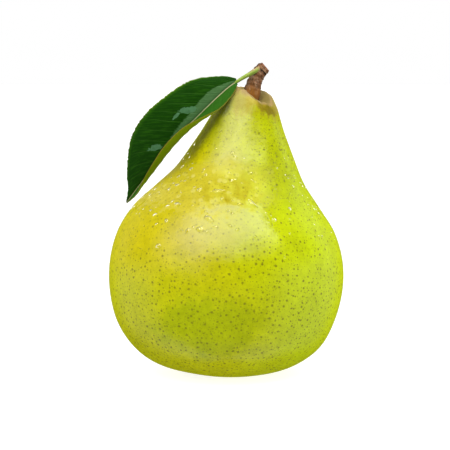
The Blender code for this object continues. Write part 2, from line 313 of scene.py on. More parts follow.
def skin_slopes(u, v, step):
    """How far the skin moves for a unit of u and of v, from small steps either way."""
    along = fruit_skin(u + step, v) - fruit_skin(u - step, v)
    around = fruit_skin(u, v + step) - fruit_skin(u, v - step)
    return along / (2 * step), around / (2 * step)


def fruit_normal(u, v, step=0.0008):
    """Unit outward direction of the skin: the cross product of its two slopes."""
    along, around = skin_slopes(u, v, step)
    return unit(np.cross(around, along))


fruit_u, fruit_v = lattice(rows=381, columns=240)
fruit_points = fruit_skin(fruit_u, fruit_v)
outline_rows = through(OUTLINE, fruit_u)
steps = np.linalg.norm(np.diff(outline_rows[:, 0], axis=0), axis=1)
down_skin = np.concatenate([[0], np.cumsum(steps)])[:, None] + 0 * fruit_v
skin_place = np.concatenate([outline_rows, down_skin[..., None]], axis=-1)
skin_turn = np.stack([np.cos(fruit_v), np.sin(fruit_v), 0 * fruit_v], axis=-1)
fruit = closed_piece(
    "fruit", fruit_points[1:-1], fruit_points[[0, -1]].mean(axis=1),
    skin_place=(skin_place[1:-1], skin_place[[0, -1], 0]),
    skin_turn=(skin_turn[1:-1], skin_turn[[0, -1], 0]))
low_corner, high_corner = fruit_points.min(axis=(0, 1)), fruit_points.max(axis=(0, 1))
print("fruit, mm:", np.round(low_corner, 2), np.round(high_corner, 2))

# %% [markdown]
# ## The stem
#
# A pear's stem is a bent twig: thick and fleshy where it leaves the hollow, ringed where it
# has dried, knobby at the top where the leaf grew, and cut off at a slant.

# %% Stem shape
STEM_AXIS = [
    (7.5, -1.9, 82.6, 1.7), (7.6, -1.9, 85, 2.05), (7.8, -1.9, 87.4, 2.55),
    (8.2, -1.9, 89.4, 2.72), (8.7, -1.8, 91.3, 2.44), (9.2, -1.7, 93, 2.26),
    (9.9, -1.6, 94.7, 2.16), (10.9, -1.5, 96.2, 2.1), (11.9, -1.4, 97.1, 1.92),
    (12.6, -1.4, 97.7, 1.66),
]
RING_TURNS = 58          # radians of ringing from foot to tip


def sweep(axis, rows, columns):
    """A tube: share s along it, turn a round it, centre, radius, tangent and way outwards.

    Formula: the tangent is the change of the centre between neighbouring rows; one cross
    direction is +y made square to the tangent, the other is their cross product.
    """
    s = np.linspace(0, 1, rows)[:, None]
    a = np.linspace(0, 2 * math.pi, columns, endpoint=False)
    line = through(axis, s[:, 0])
    tangent = unit(np.gradient(line[:, :3], axis=0))
    second = unit(np.array([0, 1, 0]) - tangent * tangent[:, 1:2])
    first, turn = np.cross(second, tangent), a[:, None]
    out = first[:, None] * np.cos(turn) + second[:, None] * np.sin(turn)
    return s, a, line[:, None, :3], line[:, 3:], tangent, out


def tube_place(s, a):
    """What a tube carries: the share along it and the share of a turn round it."""
    return np.stack(np.broadcast_arrays(s, a / (2 * math.pi), 0), axis=-1), [[0, 0, 0], [1, 0, 0]]


s, a, centre, radius, stem_way, stem_out = sweep(STEM_AXIS, rows=180, columns=84)
smooth_stem = centre + stem_out * radius[..., None]
ridges = 0.09 * np.cos(5 * a + 4 * s) + 0.06 * np.cos(8 * a - 5 * s + 1)
rings = np.sin(RING_TURNS * s + 2.2 * np.sin(a + 1) + 1.2 * np.sin(2 * a))
rings = rings * 0.085 * ease(0.38, 0.52, s)
rings = rings + 0.035 * np.sin(118 * s + 2.4 * np.cos(a)) * ease(0.42, 0.6, s)
lumps = 0.16 * wander(smooth_stem, 2.6, 21) + 0.045 * wander(smooth_stem, 0.9, 22)
knob = 0.25 * bump(s, 0.9, 0.06) * (0.5 + 0.5 * np.cos(a - 2.9))
notch = -0.3 * bump(s, 0.87, 0.05) * bump((a + 1.2) % (2 * math.pi) - math.pi, 0, 0.35)
relief = ridges * ease(0.3, 0.5, s) + rings + lumps * ease(0.2, 0.5, s) + knob + notch
stem_points = smooth_stem + stem_out * relief[..., None]
CUT_END = np.array([(0.86, 0.05), (0.62, -0.12), (0.34, -0.22)])[..., None, None]
tip = stem_points[-1].mean(axis=0)      # each row above: a ring's width and its height
end = tip + (stem_points[-1] - tip) * CUT_END[:, 0] + stem_way[-1] * CUT_END[:, 1]
stem = closed_piece("stem", np.concatenate([stem_points, end]),
                    [stem_points[0].mean(axis=0), tip + stem_way[-1] * -0.25],
                    stem_place=tube_place(np.append(s, np.ones((len(end), 1)), axis=0), a))
# %% [markdown]
# ## The leaf
#
# The blade is ruled between three lines, one column each: midrib, far margin and near
# margin.  The near half is folded forward, so its paler underside shows as a strip.  Both
# faces are one closed sheet: the cross-section runs over the top and comes back underneath.

# %% Leaf tables
LEAF = [
    ((3.3, -5.6, 93.2), (3.2, -5.3, 94.2), (3.6, -5.8, 92.2)),
    ((0.8, -5.9, 91.4), (-0.6, -5.1, 94.9), (3, -8.2, 90.8)),
    ((-2.5, -5.9, 88.5), (-9.5, -4, 94), (1.2, -10.2, 88.1)),
    ((-5.7, -5.4, 85.4), (-15.2, -2.5, 91.3), (-2.2, -12.6, 84.9)),
    ((-8.9, -4.6, 82.2), (-20, -1.2, 87.8), (-8.2, -13.6, 82)),
    ((-12.2, -3.4, 79), (-23.2, 0.2, 85.2), (-12.9, -13.2, 79.4)),
    ((-15.6, -1.8, 75.5), (-26.2, 1.8, 82.1), (-16.9, -12, 75.9)),
    ((-18.9, 0.2, 71.6), (-29, 3.6, 78.1), (-20.1, -9.6, 72.1)),
    ((-21.9, 2.6, 67.6), (-30.9, 5.6, 73.5), (-22.9, -6.2, 67.8)),
    ((-24.6, 5.4, 63.9), (-31.8, 7.6, 67.4), (-25.4, -1.8, 63.6)),
    ((-27.2, 8.2, 60.4), (-32.1, 9.6, 62), (-27.4, 4.4, 59.7)),
    ((-29.8, 10.8, 56.9), (-31.9, 11.4, 57.8), (-29.2, 9.3, 56.1)),
    ((-32.5, 12.9, 53.2), (-32.6, 12.9, 53.4), (-32.3, 12.8, 53)),
]
FOLD_WAY = np.array([0.62, -0.3, -0.72])
CAMBER_WAY = np.array([0.25, -0.93, 0.27])
LEAF_ROWS, LEAF_HALF = 300, 40
TOOTH_PITCH, TOOTH_DEPTH = 1.25, 0.4
LEAF_LENGTH = 54       # along the midrib

# %% The middle sheet of the leaf
def leaf_sheet(along, across):
    """Middle surface of the blade; along is 0..1 and across -1 (far) to 1 (near).

    Formula: midrib + |across| (margin - midrib), plus a belly 2t(1-t) on the folded half
    and an arch 4t(1-t) on the open half, both fading to the ends as sin(pi along)^1.1.
    """
    rows = through([sum(row, ()) for row in LEAF], along)
    middle, far, near = rows[..., 0:3], rows[..., 3:6], rows[..., 6:9]
    t = np.abs(across)[..., None]
    swell = (np.sin(math.pi * along) ** 1.1)[..., None]
    open_half = middle + t * (far - middle) + 0.9 * swell * 4 * t * (1 - t) * CAMBER_WAY
    fold_half = middle + t * (near - middle) + 3.4 * swell * 2 * t * (1 - t) * FOLD_WAY
    points = np.where(across[..., None] < 0, open_half, fold_half)
    edge = points - middle
    reach = np.linalg.norm(edge, axis=-1, keepdims=True) + 1e-9
    length = LEAF_LENGTH * along
    tooth = 1 - np.abs(((length + 0.5 * np.sin(length * 1.3)) / TOOTH_PITCH) % 1 * 2 - 1)
    tooth = (tooth - 0.5) * (0.65 + 0.35 * np.sin(length * 2.1 + 3 * (across > 0)))
    outer = ease(0.8, 1, np.abs(across)) * tooth * TOOTH_DEPTH
    outer = outer * ease(0.04, 0.12, along) * (1 - ease(0.96, 1, along))
    return points + edge / reach * outer[..., None]


even = np.linspace(-1, 1, 2 * LEAF_HALF + 1)
closer = 0.5 * np.sin(even * math.pi / 2) + 0.5 * even     # columns closer at the margins
along, across = np.meshgrid(np.linspace(0, 1, LEAF_ROWS), closer, indexing="ij")
sheet = leaf_sheet(along, across)
leaf_normal = unit(np.cross(np.gradient(sheet, axis=0), np.gradient(sheet, axis=1)))
print("leaf faces forward:", bool(leaf_normal[LEAF_ROWS // 2, 10, 1] < 0))

# %% [markdown]
# The leaf is thickened by numbers instead of by a modifier, because top and underside
# differ: the midrib is a groove above and a rib below, and the green between the side
# veins swells like a quilt.

# %% Thickness, midrib and veins of the leaf
VEINS, VEIN_SWEEP, VEIN_CURL = 13, 2.2, 0.35


def both_faces(top, under):
    """One closed cross-section: over the top from the near margin, and back underneath."""
    return np.concatenate([top[:, ::-1], under], axis=1)


out_to_edge = np.abs(across)
phase = along * VEINS - VEIN_SWEEP * out_to_edge + VEIN_CURL * out_to_edge**2 + 0.25 * (across > 0)
vein_wave = 1 - np.abs((phase % 1) * 2 - 1)    # 1 on a side vein, 0 between
on_vein = ease(0.86, 1, vein_wave) * (1 - ease(0.55, 0.95, out_to_edge))
width_mm = np.linalg.norm(sheet - sheet[:, LEAF_HALF:LEAF_HALF + 1], axis=-1)
on_rib = bump(width_mm, 0, 0.55 * (1 - 0.55 * along))
half_thick = 0.13 + 0.05 * (1 - out_to_edge)
top_lift = half_thick - 0.22 * on_rib + 0.05 * (1 - on_vein) - 0.05
under_lift = half_thick + 0.42 * on_rib * (1 - 0.6 * along) + 0.1 * on_vein
pinch = 1 - ease(0.97, 1, out_to_edge) * 0.8
top_side = sheet + leaf_normal * (top_lift * pinch)[..., None]
under_side = sheet - leaf_normal * (under_lift * pinch)[..., None]
zero = np.zeros_like(along)
places = [np.stack([along, across, zero + face], axis=-1) for face in (0, 1)]
spans = np.stack([width_mm * np.sign(across), zero, zero], axis=-1)
blade = closed_piece(
    "leaf_blade", both_faces(top_side, under_side),
    leaf_place=(both_faces(*places), [[0, 0, 0], [1, 0, 0]]),
    leaf_span=(both_faces(spans, spans), np.zeros((2, 3))))

# %% [markdown]
# ## The leaf stalk
#
# The green stalk is a thin tube with a shallow groove, wider where it grips the stem.  It
# runs on under the first part of the blade.

# %% Leaf stalk
STALK_AXIS = [
    (11.8, -1.7, 97.5, 0.7), (10.6, -2.8, 97.1, 0.84), (9.2, -3.8, 96.5, 0.78),
    (7.3, -4.6, 95.4, 0.66), (5.3, -5.1, 94.3, 0.56), (3.7, -5.35, 93.3, 0.5),
    (1.9, -5.1, 92.1, 0.42), (-0.6, -4.9, 90.1, 0.3),
]
s, a, centre, radius, _, out = sweep(STALK_AXIS, rows=140, columns=36)
stalk_radius = radius * (1 + 0.05 * np.cos(2 * a))
stalk_radius = stalk_radius - 0.1 * bump((a - 0.6) % (2 * math.pi) - math.pi, 0, 0.5)
stalk = closed_piece("leaf_stalk", centre + out * stalk_radius[..., None],
                     stalk_place=tube_place(s, a))

# %% [markdown]
# ## The dried flower
#
# Turn a pear over and the five dry sepals of its flower are still there.  They are one
# wrinkled star that follows the basin.

# %% Calyx
BASIN_SHARE = 0.13       # of the outline, from the pole outwards


def calyx_sheet(reach, angle):
    """Middle of the dried sepals: a five-pointed star hung just under the basin skin.

    Formula: radius = reach (1.4 + 1.6 point), point = (0.5 + 0.5 cos 5a)^1.5; height is the
    basin's less a droop that grows with the radius, plus wrinkles.
    """
    point = (0.5 + 0.5 * np.cos(5 * angle)) ** 1.5
    radius = reach * (1.4 + 1.6 * point)
    basin = through(OUTLINE, np.linspace(0, BASIN_SHARE, 60))
    height = np.interp(radius, basin[:, 0], basin[:, 1]) - 0.45 - 0.1 * radius
    height = height - 0.25 * bump(radius, 0.9, 0.5) * (0.6 + 0.4 * np.cos(10 * angle))
    height = height + 0.12 * np.cos(15 * angle + 3 * reach) * ease(0.3, 1, reach)
    x, _, z, lean, _ = on_core(height)
    across, deep = radius * np.cos(angle), radius * np.sin(angle)
    x, z = x + across * np.cos(lean), z - across * np.sin(lean)
    return np.stack([x, deep, z - REST_HEIGHT], axis=-1)


reach, angle = (grid[1:] for grid in lattice(rows=22, columns=120))
star = calyx_sheet(reach, angle)
CALYX_HALF = np.array([0, 0, 0.22])    # half its thickness in the middle
thick = CALYX_HALF * (1 - 0.12 / 0.22 * reach)[..., None]
shell = np.concatenate([star + thick, (star - thick)[::-1]])
middle = calyx_sheet(np.zeros(1), np.zeros(1))
calyx = closed_piece("calyx", shell[:, ::-1], middle + [CALYX_HALF, -CALYX_HALF])

# %% [markdown]
# ## Drops of water
#
# The fruit has just been rinsed.  Each drop is a low dome whose base follows `fruit_skin`,
# so it sits on every lump, with an outline pulled out of round, as water on wax clings and
# runs.  The hundreds of small ones have few faces.

# %% Drops
DROP_ROOT = 0.04         # how deep a drop's base lies in the skin


def drops_on(rings, spokes, u, v, size, tall, long, slant, seed):
    """Closed domes on the skin at (u, v): points, quads and triangles of all the drops.

    Formula: at share r of the way out the dome stands tall * size * (1 - r^2) above the
    skin, and its outline is size * (1 + three small waves), stretched by long along slant.
    """
    count = len(u)
    phase = np.random.default_rng(seed).uniform(0, 2 * math.pi, (3, count, 1, 1))
    slope_u, slope_v = (np.linalg.norm(way, axis=-1) for way in skin_slopes(u, v, 0.0006))
    middle, out = fruit_skin(u, v), fruit_normal(u, v)
    poles = np.stack([middle + out * (tall * size)[:, None], middle - out * DROP_ROOT], axis=1)
    u, v, size, tall, long, slant, slope_u, slope_v = (
        np.reshape(row + 0 * u, (-1, 1, 1))
        for row in (u, v, size, tall, long, slant, slope_u, slope_v))
    r = np.linspace(0, 1, rings + 1)[1:, None]
    turn = np.linspace(0, 2 * math.pi, spokes, endpoint=False)
    wobble = 1 + 0.13 * np.cos(2 * turn + phase[0]) + 0.09 * np.cos(3 * turn + phase[1])
    wobble = wobble + 0.05 * np.cos(5 * turn + phase[2])
    one = r * size * wobble * np.cos(turn) * long
    two = r * size * wobble * np.sin(turn) / np.sqrt(long)
    place_u = u + (one * np.sin(slant) + two * np.cos(slant)) / slope_u
    place_v = v + (one * np.cos(slant) - two * np.sin(slant)) / slope_v
    base, up = fruit_skin(place_u, place_v), fruit_normal(place_u, place_v)
    dome = base + up * (tall * size * np.maximum(1 - r**2, 0))[..., None]
    floor = (base - up * DROP_ROOT)[:, ::-1]
    body = np.concatenate([dome, floor], axis=1).reshape(count, -1, 3)
    points = np.concatenate([body, poles], axis=1)
    quads, caps = ring_faces(2 * rings, spokes)
    shift = (np.arange(count) * points.shape[1])[:, None, None]
    return points.reshape(-1, 3), (quads + shift).reshape(-1, 4), (caps + shift).reshape(-1, 3)


# %% Where the drops stand
# The larger drops: x, z, size, stretch and slant.
LARGE_DROPS = np.array([
    (-2.2, 60, 1.5, 1.7, 0.35), (-5.2, 52.2, 1.6, 1.3, -0.5), (-8.1, 49.3, 1.3, 1.2, 0.2),
    (-11.9, 48.8, 1.1, 1.1, 0.9), (2.3, 63, 1, 1.5, 0.5), (1.2, 65, 0.8, 1.3, 0.1),
    (-8, 60.2, 1.1, 1.2, -0.2), (-10.9, 66.2, 0.9, 1.3, 0.4), (-6.7, 66.3, 0.7, 1, 0),
    (-6.3, 64.6, 0.8, 1.1, 0.8), (-15.2, 61.4, 0.9, 1.4, 0.3), (-17.8, 60.1, 0.8, 1.2, -0.3),
    (-15, 56.2, 1.1, 1.5, 0.1), (-17.8, 55.4, 0.8, 1.1, 0.6), (-21.9, 52.5, 0.9, 1.2, 0.2),
    (-18.3, 51.2, 0.8, 1.3, -0.4), (-20.5, 43.9, 1.1, 1.2, 0.5), (8.1, 56.3, 1.4, 2, -0.9),
    (19.9, 54.5, 0.8, 1.1, 0.4), (14.8, 51.6, 1, 1.1, 0),
])
BRIGHT_DROPS = [16, 19]  # these two stand high and catch the lamp
SMALL_DROPS = 300
BEHIND = 1e6             # keeps skin that faces away out of the search
faces_away = fruit_normal(fruit_u, fruit_v)[..., 1] >= -0.1
gap = (LARGE_DROPS[:, 0:1] - fruit_points[..., 0].ravel()) ** 2
gap = gap + (LARGE_DROPS[:, 1:2] - fruit_points[..., 2].ravel()) ** 2
nearest = np.argmin(gap + BEHIND * faces_away.ravel(), axis=1)
large_tall = np.full(len(LARGE_DROPS), 0.34)
large_tall[BRIGHT_DROPS] = 0.6
large = drops_on(5, 18, fruit_u.ravel()[nearest], fruit_v.ravel()[nearest],
                 LARGE_DROPS[:, 2] * 0.8, large_tall, *LARGE_DROPS.T[3:], 8)

# %% Small drops and the whole of the water
rng = np.random.default_rng(5)
small_z = rng.normal(60.5, 7, SMALL_DROPS).clip(34, 84)
small_u = np.interp(small_z, fruit_points[150:340, 0, 2], fruit_u[150:340, 0])
small_v = rng.uniform(-math.pi, math.pi, SMALL_DROPS)
small_size = rng.uniform(0.2, 0.75, SMALL_DROPS) ** 1.4
small_size = small_size * np.where(np.cos(small_v) > 0.2, 0.6, 1)    # finer on the right
small_long = rng.uniform(1, 1.6, SMALL_DROPS)
small_slant = rng.uniform(-1.5, 1.5, SMALL_DROPS)
small = drops_on(2, 8, small_u, small_v, small_size, 0.17, small_long, small_slant, 9)
after = len(large[0])
points, quads, caps = (np.concatenate([big, little + shift])
                       for big, little, shift in zip(large, small, (0, after, after)))
water = make_piece("water_on_fruit", points, quads, caps)

# %% [markdown]
# ## Writing materials as sums
#
# A node material is arithmetic.  It could be wired by hand, but `a * 2 + b` is easier to
# read: `Flow` wraps one output socket, so that such a line adds the Math nodes itself.
# %% One value on its way
def sum_of(operation, turned=False):
    """An operator of Flow that adds one Math node; turned puts the other value first."""
    def operator(self, other):
        return self.finish.math(operation, *((other, self) if turned else (self, other)))
    return operator


class Flow:
    """One number or colour on its way through a material's nodes."""

    def __init__(self, finish, socket):
        self.finish = finish
        self.socket = socket

    __add__, __radd__ = sum_of("ADD"), sum_of("ADD", turned=True)
    __sub__, __rsub__ = sum_of("SUBTRACT"), sum_of("SUBTRACT", turned=True)
    __mul__, __rmul__ = sum_of("MULTIPLY"), sum_of("MULTIPLY", turned=True)
    __truediv__, __pow__ = sum_of("DIVIDE"), sum_of("POWER")
    most, least = sum_of("MAXIMUM"), sum_of("MINIMUM")     # the larger, the smaller of two

    def __abs__(self):
        return self.finish.math("ABSOLUTE", self)

    def sine(self):
        """Sine of an angle in radians."""
        return self.finish.math("SINE", self)

    def rise(self, low, high):
        """0 below low and 1 above high, with a smooth step between; falls if low > high."""
        return self.finish.node("MapRange", {"interpolation_type": "SMOOTHSTEP"},
                                {0: self, 1: low, 2: high})

    def between(self, a, b, c, d):
        """0 below a, 1 from b to c and 0 above d."""
        return self.rise(a, b) * self.rise(d, c)

    def parts(self):
        """The x, y and z of a vector."""
        return [self.finish.node("SeparateXYZ", {}, {0: self}, output=i) for i in range(3)]


# %% One material
class Finish:
    """A node tree under construction, ending in one Principled (or Background) shader."""

    def __init__(self, holder, shader="Principled BSDF"):
        self.holder = holder
        holder.use_nodes = True
        self.tree = holder.node_tree
        self.shader = self.tree.nodes[shader]

    def feed(self, socket, value):
        """Link a Flow to a socket, or write a plain value on it."""
        if isinstance(value, Flow):
            self.tree.links.new(value.socket, socket)
        elif socket.type == "RGBA":
            socket.default_value = (*value, 1)
        else:
            socket.default_value = value

    def node(self, kind, settings, values, output=0):
        """Add a node: settings first, then values and links by input, and give one output."""
        node = self.tree.nodes.new("ShaderNode" + kind)
        for name, value in settings.items():
            setattr(node, name, value)
        for name, value in values.items():
            self.feed(node.inputs[name], value)
        return Flow(self, node.outputs[output])

    def math(self, operation, *values):
        """One Math node."""
        return self.node("Math", {"operation": operation}, dict(enumerate(values)))

    def mix(self, share, first, second, blend="MIX"):
        """Blend two colours; share 0 gives the first."""
        return self.node("Mix", {"data_type": "RGBA", "blend_type": blend},
                         {0: share, 6: first, 7: second}, output=2)

    def coats(self, colour, *coats):
        """Lay coats over a colour in turn; each is the share it covers and its own colour."""
        for share, paint in coats:
            colour = self.mix(share, colour, paint)
        return colour

    def place(self):
        """Where the surface is on the object, in millimetres, and its x, y and z."""
        coordinates = self.node("TexCoord", {}, {}, output="Object")
        where = self.node("VectorMath", {"operation": "SCALE"}, {0: coordinates, "Scale": 1 / MM})
        return where, where.parts()

    def attribute(self, title):
        """The three numbers of an attribute that the piece carries."""
        return self.node("Attribute", {"attribute_name": title}, {}, output="Vector").parts()

    def noise(self, where, size, detail=3, rough=0.5, stretch=(1, 1, 1), seed=0):
        """Soft random value 0..1 with features of the given size in millimetres."""
        shift = (seed, -seed, 2 * seed)
        moved = self.node("Mapping", {}, {0: where, "Location": shift, "Scale": stretch})
        return self.node("TexNoise", {}, {
            "Vector": moved, "Scale": 1 / size, "Detail": detail, "Roughness": rough})
    def dots(self, sheet, cell, radius, soft, keep, seed=0):
        """Round spots scattered one to a cell: 1 in a spot, falling to 0 at radius + soft.

        sheet is (around, down, girth): millimetres on the skin unrolled flat, and how much
        narrower the fruit is here than the flat sheet; keep is the share of cells with a spot.
        """
        around, down, girth = sheet
        values = {"Vector": self.node("CombineXYZ", {}, {0: around + seed, 1: down}),
                  "Scale": 1 / cell, "Randomness": 0.85}
        settings = {"voronoi_dimensions": "2D"}
        centre = self.node("TexVoronoi", settings, values, output="Position").parts()
        chance = self.node("TexVoronoi", settings, values, output="Color").parts()
        away = (around + seed - centre[0]) * girth, down - centre[1]
        distance = self.math("SQRT", away[0] * away[0] + away[1] * away[1])
        spot = (distance / (chance[1] * 0.9 + 0.55)).rise(radius + soft, radius)
        return spot * self.math("LESS_THAN", chance[0], keep)

    def bump(self, height, depth):
        """Tilt the surface as if it stood height * depth millimetres higher."""
        return self.node("Bump", {}, {"Height": height, "Distance": depth * MM})

    def ends(self, values):
        """Write or link the last values on the shader."""
        for name, value in values.items():
            self.feed(self.shader.inputs[name], value)

    def on(self, piece, values):
        """End the material with these values and put it on the piece."""
        self.ends(values)
        piece.data.materials.append(self.holder)


def new_finish(name):
    """An empty material ready to be written."""
    return Finish(bpy.data.materials.new(name))


def oval(x, z, middle_x, middle_z, half_width, half_height):
    """0 at the middle of an oval, 1 on its edge: (x / half_width)^2 + (z / half_height)^2."""
    return ((x - middle_x) / half_width) ** 2 + ((z - middle_z) / half_height) ** 2


# %% [markdown]
# ## Skin of the pear
#
# Ripe green-yellow, warmer on the side that saw the sun; painted shade makes it deeper
# olive low on the front and deeper green on the back.
# A picture could be wrapped round the fruit, but it would have a seam and one size.  Here
# the colour is laid in coats, each with a smooth edge roughened by noise.

# %% Skin colour
MIDDLE = (0.575, 0.59, 0.0006)
GOLD = (0.61, 0.525, 0.0012)
LIME = (0.605, 0.735, 0.0008)
SHADE_OLIVE = (0.475, 0.545, 0.0006)
BACK_PAINTED_SHADE = (0.43, 0.48, 0.0006)
skin = new_finish("pear_skin")
place, (px, py, pz) = skin.place()
wide = skin.noise(place, 26, 2) - 0.5
middling = skin.noise(place, 7, seed=3) - 0.5
small = skin.noise(place, 2.4, 3, 0.6, seed=9) - 0.5
grain = skin.noise(place, 0.5, 2, seed=4) - 0.5
pebble = skin.noise(place, 1, 3, 0.6, seed=14) - 0.5
streak = skin.noise(place, 1.5, 3, 0.6, stretch=(1, 1, 0.35), seed=6) - 0.5
across_skin = px + middling * 9 + wide * 10
up_skin = pz + middling * 8 + small * 3
in_front = py.rise(5, -10)
sunny = across_skin.rise(9, -12) * up_skin.rise(27, 47) * up_skin.rise(80, 64)
# Painted shade: the low front of the belly is made deeper olive.
painted_low_shade = (oval(px, pz, -6, 19, 17, 10) + middling * 1.6 + small * 1.2).rise(1.6, 0.2)
colour = skin.coats(
    MIDDLE, (across_skin.rise(-2, 30), LIME), (sunny, GOLD), (painted_low_shade * in_front, SHADE_OLIVE),
    # painted shade: the back, lit strongly from behind, is made a deeper green
    ((py + middling * 8).rise(4, 26) * 0.7, BACK_PAINTED_SHADE))

# %% Light and dark mottling, with painted shade under the highlights and the leaf
# Painted shade: the front is darkened a little where the belly and neck highlights lie.
painted_shade_at_highlights = (oval(px, pz, -2, 49, 15, 10) + middling).rise(1.6, 0.3)
painted_shade_at_highlights = painted_shade_at_highlights.most((oval(px, pz, 2.5, 74, 8, 13) + middling).rise(1.6, 0.3))
mottle = 1 + middling * 0.28 + small * 0.34 + pebble * 0.34 + grain * 0.2
mottle = mottle * (1 - painted_shade_at_highlights * in_front * 0.15)
# Painted shade: the upper right of the belly is darkened a little more.
mottle = mottle * (1 - up_skin.rise(49, 60) * px.rise(9, 14) * 0.11)
# Painted shadow of the leaf: the left of the neck below the leaf is darkened.
from_left = px + (84 - pz) * 0.55 - pz.rise(80, 85) * 2 + small * 2
painted_leaf_shadow = from_left.rise(0.2, -3) * pz.rise(62, 74) * py.rise(1.2, -2.4)
colour = skin.mix(1, colour, mottle * (1 - painted_leaf_shadow * 0.58), "MULTIPLY")

# %% [markdown]
# Small brown breathing dots cover the skin, dense low down and sparse on the neck.  Spots
# in solid space would be cut through at every angle, so these stand on the skin unrolled
# flat, at three sizes.  A band of fine mist above the belly dulls the wax, pale flecks in it
# are painted highlights of its finest drops, and one pale scar shows low on the left.

# %% Breathing dots and misted band
GIRTH = 37.6             # radius of the fruit where the unrolled sheet is true to size
DOT_BROWN = (0.125, 0.105, 0.002)
MIST_TAN = (0.465, 0.385, 0.002)
GLINT_PALE = (0.78, 0.74, 0.22)
SCAR_BROWN = (0.36, 0.29, 0.01)
turned_radius, turned_height, down = skin.attribute("skin_place")
to_right, to_back, _ = skin.attribute("skin_turn")
around = skin.math("ARCTAN2", to_right, to_back * -1) * GIRTH
sheet = (around, down, turned_radius * (1 / GIRTH))
mist = (up_skin + small * 8).between(52.5, 59.5, 62, 71)
mist = mist * (px + middling * 6 + small * 5).rise(20, 5) * py.rise(12, -6)
# Painted highlights: pale flecks stand for the glints of the finest drops in the mist.
painted_drop_glints = skin.dots(sheet, 2.9, 0.4, 0.35, 0.3, seed=23) * mist
neck = pz.rise(46, 66)
low_left = (pz + px * 0.35).rise(19, 2)
kept = (0.92 - pz.rise(26, 44) * 0.3 - neck * 0.12) * sheet[2]
small_kept = (kept + neck * (0.15 + px.rise(6, 10) * 0.35)) * 0.82
big_dots = skin.dots(sheet, 2.05, 0.13, 0.27, kept)
small_dots = skin.dots(sheet, 1.25, 0.07, 0.18, small_kept, seed=7)
tiny_dots = skin.dots(sheet, 0.85, 0.08, 0.1, kept * (0.25 + low_left * 0.45), seed=17)
dots = (big_dots + small_dots * 0.65 + tiny_dots * 0.65).least(1)
middle = (px * px).rise(500, 80) * pz.between(8, 18, 32, 40)
dot_depth = 0.76 - pz.rise(36, 52) * px.rise(14, 6) * 0.26 - middle * 0.16
scar = (oval(px, pz, -10, 0.6, 6.5, 1.5) + small * 1.5).rise(1.2, 0.4)
colour = skin.coats(
    colour, (mist * (0.5 + small * 2.4), MIST_TAN), (painted_drop_glints * (0.32 + small), GLINT_PALE),
    (dots * dot_depth, DOT_BROWN), (scar * 0.7, SCAR_BROWN))

# %% [markdown]
# Round the stem the wax is broken.  Tan russet frays out down the neck, a fold under the
# rim on the right is brown, partly russet and partly painted shade, the crest is corky and
# the hollow has a dull tan wall.  The fold is given some metal, the one way to take the
# pale gloss off it.

# %% Russet, fold and rim
TAN = (0.48, 0.42, 0.085)
STREAK_TAN = (0.4, 0.32, 0.05)
FRINGE_GOLD = (0.42, 0.35, 0.002)
FOLD_SHADE_BROWN = (0.4, 0.3, 0.0008)
RIM_TAN = (0.39, 0.255, 0.09)
BACK_RIM_BROWN = (0.17, 0.09, 0.012)
WALL_TAN = (0.27, 0.205, 0.048)
russet = (pz + middling * 5 + small * 3 + streak * 8).rise(80.5, 86.5)
russet = russet * (px + small * 2).rise(0.8, 3.4) * (px + streak * 4).rise(10.5, 6.5)
fold_height = turned_height + (px - 10) * 0.22 + small * 8 + middling * 1.5 + grain * 2
# Painted shade: the fold under the rim on the right is brown, partly russet and partly the shade
# of the crease.
shaded_fold = fold_height.rise(87.7, 88.8) * (px + small * 3).rise(4.9, 9.5) * py.rise(3, -2)
fringe = (fold_height + streak * 12).rise(84.2, 88)
fringe = fringe * (px + small * 5).rise(4, 8) * py.rise(4, -2)
crest = (turned_radius + small * 1.6 - px.rise(9, 2) * 0.7).rise(7.3, 6.3)
crest = crest * turned_height.rise(86, 87.5)
back_rim = turned_radius.between(5.4, 6, 7.2, 8) * py.rise(0, 2.5)
inside = turned_radius.rise(6.1, 5.4) * turned_height.rise(85, 86.5)
colour = skin.coats(
    colour,
    (russet * (0.9 - (px + small * 4).rise(6, 10.5) * 0.85), TAN),
    (russet * (streak + grain * 0.8).rise(0, 0.12) * 0.45, STREAK_TAN),
    (fringe * 0.6, FRINGE_GOLD),
    (shaded_fold * (0.95 + streak * 1.2), FOLD_SHADE_BROWN),
    (crest * 0.9, RIM_TAN),
    (back_rim * turned_height.rise(87, 88.5) * 0.85, BACK_RIM_BROWN),
    (inside, WALL_TAN))

# %% Gloss and relief of the skin
rough_top = (russet * (1 - shaded_fold)).most(inside)
height = middling * 0.13 + small * 0.075 + pebble * 0.022 + grain * 0.012 - dots * 0.012
height = height + mist * small * 0.09 + rough_top * (streak + grain) * 0.07
height = height + pz.rise(66, 78) * (small + streak) * 0.07
dull = small * 0.06 + mist * (0.5 + small * 0.9) + rough_top * 0.35 + shaded_fold * 0.25
metal = shaded_fold * (1 - crest) * (1 - inside) * py.rise(-1.5, -6) * px.rise(6.5, 14)
skin.on(fruit, {
    "Base Color": colour,
    "Roughness": 0.15 + dull + dots * 0.1,
    "Metallic": metal * 0.6,
    "Normal": skin.bump(height, 1),
})

# %% [markdown]
# ## Bark of the stem
#
# The bark is brown wood with grey-tan patches and dark threads along it.  Painted shade
# darkens the grooves of its rings, which match the shape's because both use one sine, and
# painted shade darkens its two flanks.  The fleshy foot is still orange, and one crack
# opens near the cut.

